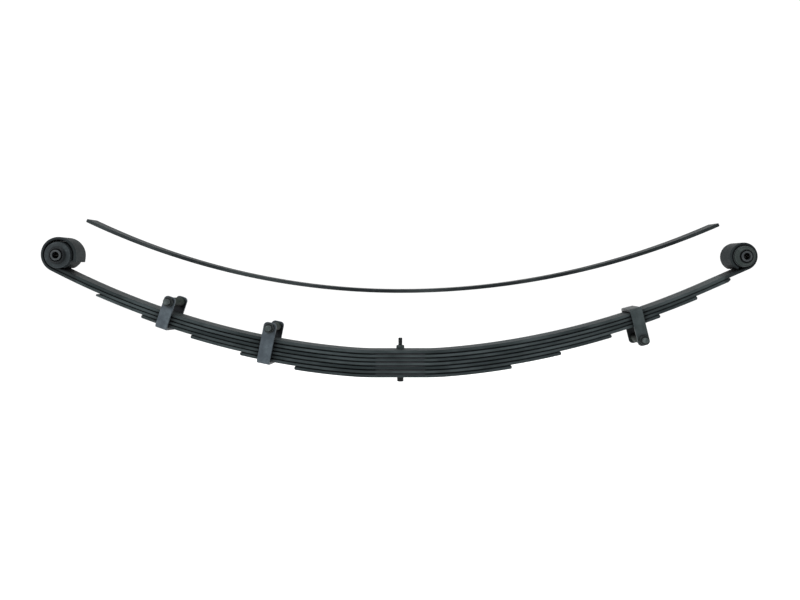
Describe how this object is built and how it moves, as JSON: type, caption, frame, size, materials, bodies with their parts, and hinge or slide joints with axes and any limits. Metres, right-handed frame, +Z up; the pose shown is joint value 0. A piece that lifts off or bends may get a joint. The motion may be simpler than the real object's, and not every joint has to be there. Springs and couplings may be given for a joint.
{
  "type": "leaf spring",
  "caption": "Automotive leaf spring pack with rolled eyes, rubber bushes, rebound clamps, a centre bolt and a loose full-length extra leaf above it.",
  "frame": {"origin": "on the centre bolt's axis, at the underside of the lowest leaf, where the pack sits on its axle", "axes": "+X along the spring towards the plain eye, +Y across its width away from the clamp nuts, +Z up towards the inside of the curve"},
  "size_m": [1.2895, 0.1051, 0.2959],
  "materials": {
    "leaf_paint": "satin black paint",
    "clamp_paint": "satin dark grey paint",
    "liner": "dull grey plate",
    "bolt_steel": "black phosphate, slightly oily",
    "bush_rubber": "matt black rubber",
    "sleeve_steel": "dull dark steel"
  },
  "bodies": {
    "pack": {"main_leaf": "leaf_paint", "second_leaf": "leaf_paint", "third_leaf": "leaf_paint", "fourth_leaf": "leaf_paint", "fifth_leaf": "leaf_paint", "sixth_leaf": "leaf_paint", "seventh_leaf": "leaf_paint", "seat_liner_1": "liner", "seat_liner_2": "liner", "seat_liner_3": "liner", "seat_liner_4": "liner", "seat_liner_5": "liner", "seat_liner_6": "liner", "centre_bolt": "bolt_steel", "centre_nut": "bolt_steel"},
    "left_arm": {"left_bush_front": "bush_rubber", "left_bush_rear": "bush_rubber"},
    "right_arm": {"right_bush_front": "bush_rubber", "right_bush_rear": "bush_rubber"},
    "left_sleeve": {"left_sleeve": "sleeve_steel"},
    "right_sleeve": {"right_sleeve": "sleeve_steel"},
    "outer_left_clamp": {"outer_left_clamp_strap": "clamp_paint", "outer_left_clamp_bolt": "bolt_steel", "outer_left_clamp_nut": "bolt_steel", "outer_left_clamp_spacer": "bolt_steel", "outer_left_clamp_rivet": "bolt_steel"},
    "inner_left_clamp": {"inner_left_clamp_strap": "clamp_paint", "inner_left_clamp_bolt": "bolt_steel", "inner_left_clamp_nut": "bolt_steel", "inner_left_clamp_spacer": "bolt_steel", "inner_left_clamp_rivet": "bolt_steel"},
    "right_clamp": {"right_clamp_strap": "clamp_paint", "right_clamp_bolt": "bolt_steel", "right_clamp_nut": "bolt_steel", "right_clamp_spacer": "bolt_steel"},
    "extra_leaf": {"extra_leaf": "leaf_paint"}
  },
  "joints": [
    {"name": "left_flex", "type": "hinge", "parent": "pack", "child": "left_arm", "pos_m": [-0.262, 0, 0.072], "axis": [0, -1, 0], "range_deg": [0, 15], "stiffness_Nm_per_rad": 6500, "deforming": ["main_leaf", "second_leaf", "third_leaf", "fourth_leaf", "fifth_leaf", "sixth_leaf", "seventh_leaf"]},
    {"name": "right_flex", "type": "hinge", "parent": "pack", "child": "right_arm", "pos_m": [0.262, 0, 0.072], "axis": [0, 1, 0], "range_deg": [0, 15], "stiffness_Nm_per_rad": 6500, "deforming": ["main_leaf", "second_leaf", "third_leaf", "fourth_leaf", "fifth_leaf", "sixth_leaf", "seventh_leaf"]},
    {"name": "left_bush_twist", "type": "hinge", "parent": "left_arm", "child": "left_sleeve", "pos_m": [-0.6142, 0, 0.22079], "axis": [0, 1, 0], "range_deg": [-25, 25], "stiffness_Nm_per_rad": 20},
    {"name": "right_bush_twist", "type": "hinge", "parent": "right_arm", "child": "right_sleeve", "pos_m": [0.6176, 0, 0.21855], "axis": [0, 1, 0], "range_deg": [-25, 25], "stiffness_Nm_per_rad": 20},
    {"name": "outer_left_clamp_ride", "type": "hinge", "parent": "pack", "child": "outer_left_clamp", "pos_m": [-0.31544, 0, 0.07334], "axis": [0, -1, 0], "range_deg": [-0.5, 18]},
    {"name": "inner_left_clamp_ride", "type": "hinge", "parent": "pack", "child": "inner_left_clamp", "pos_m": [-0.26834, 0, 0.08503], "axis": [0, -1, 0], "range_deg": [-0.5, 4]},
    {"name": "right_clamp_ride", "type": "hinge", "parent": "pack", "child": "right_clamp", "pos_m": [0.31702, 0, 0.08218], "axis": [0, 1, 0], "range_deg": [-0.5, 18]},
    {"name": "extra_leaf_lift", "type": "slide", "parent": "pack", "child": "extra_leaf", "axis": [0, 0, 1], "range_m": [-0.055, 0.03]}
  ],
  "couplings": [
    {"joint": "outer_left_clamp_ride", "follows": "left_flex", "ratio": 1.1637},
    {"joint": "inner_left_clamp_ride", "follows": "left_flex", "ratio": 0.2169},
    {"joint": "right_clamp_ride", "follows": "right_flex", "ratio": 1.1705}
  ]
}
